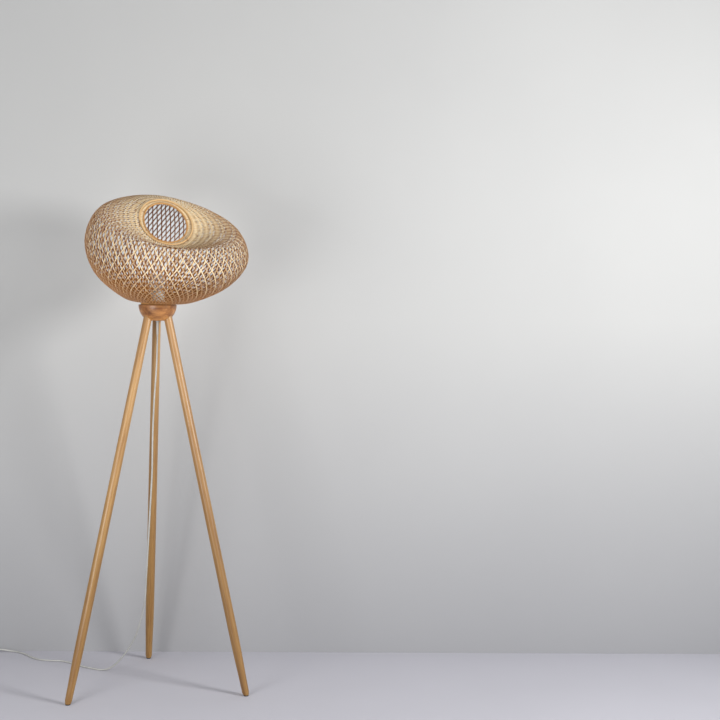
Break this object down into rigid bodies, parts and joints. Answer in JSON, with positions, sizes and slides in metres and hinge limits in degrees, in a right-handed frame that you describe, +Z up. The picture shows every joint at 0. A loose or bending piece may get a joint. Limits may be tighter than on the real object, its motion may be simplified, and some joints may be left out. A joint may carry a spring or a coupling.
{
  "type": "floor lamp",
  "caption": "Tripod floor lamp with splayed wooden legs, a turned hub and a leaning woven bamboo shade with a rolled-in round mouth.",
  "frame": {"origin": "on the floor, under the middle of the standing lamp's plan box without its cord", "axes": "+Z up, from the floor to the shade; -Y towards the front, where the mouth faces; +X to the lamp's left-hand side as it faces the viewer"},
  "size_m": [0.931, 0.7272, 1.4681],
  "materials": {
    "leg_wood": "clear satin lacquer over straight-grained hardwood",
    "hub_wood": "darker stained, turned end to end, satin lacquer",
    "bamboo_weave": "split bamboo strips, natural",
    "bamboo_hoop": "bent bamboo hoop, natural",
    "zinc_steel": "bright zinc plated",
    "brass": "drawn brass",
    "white_plastic": "moulded, semi-gloss",
    "steatite": "glazed white insulator",
    "dark_insulator": "dark vitrified insulator",
    "frosted_glass": "inside frosted",
    "clear_pvc": "translucent grey",
    "pad_rubber": "matt"
  },
  "bodies": {
    "lamp_body": {"hub_bowl": "hub_wood", "leg_left": "leg_wood", "leg_stud_left": "zinc_steel", "leg_insert_left": "brass", "foot_pad_left": "pad_rubber", "leg_right": "leg_wood", "leg_stud_right": "zinc_steel", "leg_insert_right": "brass", "foot_pad_right": "pad_rubber", "leg_back": "leg_wood", "leg_stud_back": "zinc_steel", "leg_insert_back": "brass", "foot_pad_back": "pad_rubber", "nipple_tube": "zinc_steel", "hub_washer": "zinc_steel", "hub_lock_nut": "zinc_steel", "cord_grip": "clear_pvc", "supply_lead": "clear_pvc", "holder_cap": "white_plastic", "holder_skirt": "white_plastic", "shade_clamp_ring": "white_plastic", "holder_insulator": "steatite", "holder_screw_shell": "brass", "holder_contact_tongue": "brass", "shade_weave_foot": "bamboo_weave", "shade_weave_body": "bamboo_weave", "shade_weave_shoulder": "bamboo_weave", "shade_weave_crown": "bamboo_weave", "mouth_hoop_inner": "bamboo_hoop", "mouth_hoop_outer": "bamboo_hoop", "shade_base_hoop": "bamboo_hoop", "shade_fitter": "zinc_steel", "cord_drop": "clear_pvc", "cord_coil": "clear_pvc", "cord_link": "clear_pvc", "cord_tail": "clear_pvc", "switch_base": "white_plastic", "switch_cover": "white_plastic", "switch_contact_block": "steatite", "switch_spring": "zinc_steel", "switch_screw_1": "zinc_steel", "switch_screw_2": "zinc_steel", "switch_relief_in": "clear_pvc", "switch_relief_out": "clear_pvc", "plug_relief": "white_plastic", "plug_body": "white_plastic", "plug_pin_left": "brass", "plug_pin_right": "brass"},
    "bulb_lift": {"bulb_contact": "brass"},
    "bulb": {"bulb_insulator": "dark_insulator", "bulb_cap": "zinc_steel", "bulb_glass": "frosted_glass"},
    "foot_button": {"switch_button": "white_plastic"}
  },
  "joints": [
    {"name": "bulb_rise", "type": "slide", "parent": "lamp_body", "child": "bulb_lift", "axis": [0, 0, 1], "range_m": [0, 0.01452]},
    {"name": "bulb_unscrew", "type": "hinge", "parent": "bulb_lift", "child": "bulb", "pos_m": [-0.00999, -0.0005, 1.175], "axis": [0, 0, 1], "range_deg": [0, 1440]},
    {"name": "button_press", "type": "slide", "parent": "lamp_body", "child": "foot_button", "axis": [0, 0, -1], "range_m": [0, 0.003], "stiffness_N_per_m": 200, "springref_m": -0.0003, "deforming": ["switch_spring"]}
  ],
  "couplings": [
    {"joint": "bulb_unscrew", "follows": "bulb_rise", "rad_per_m": 1730.9}
  ]
}
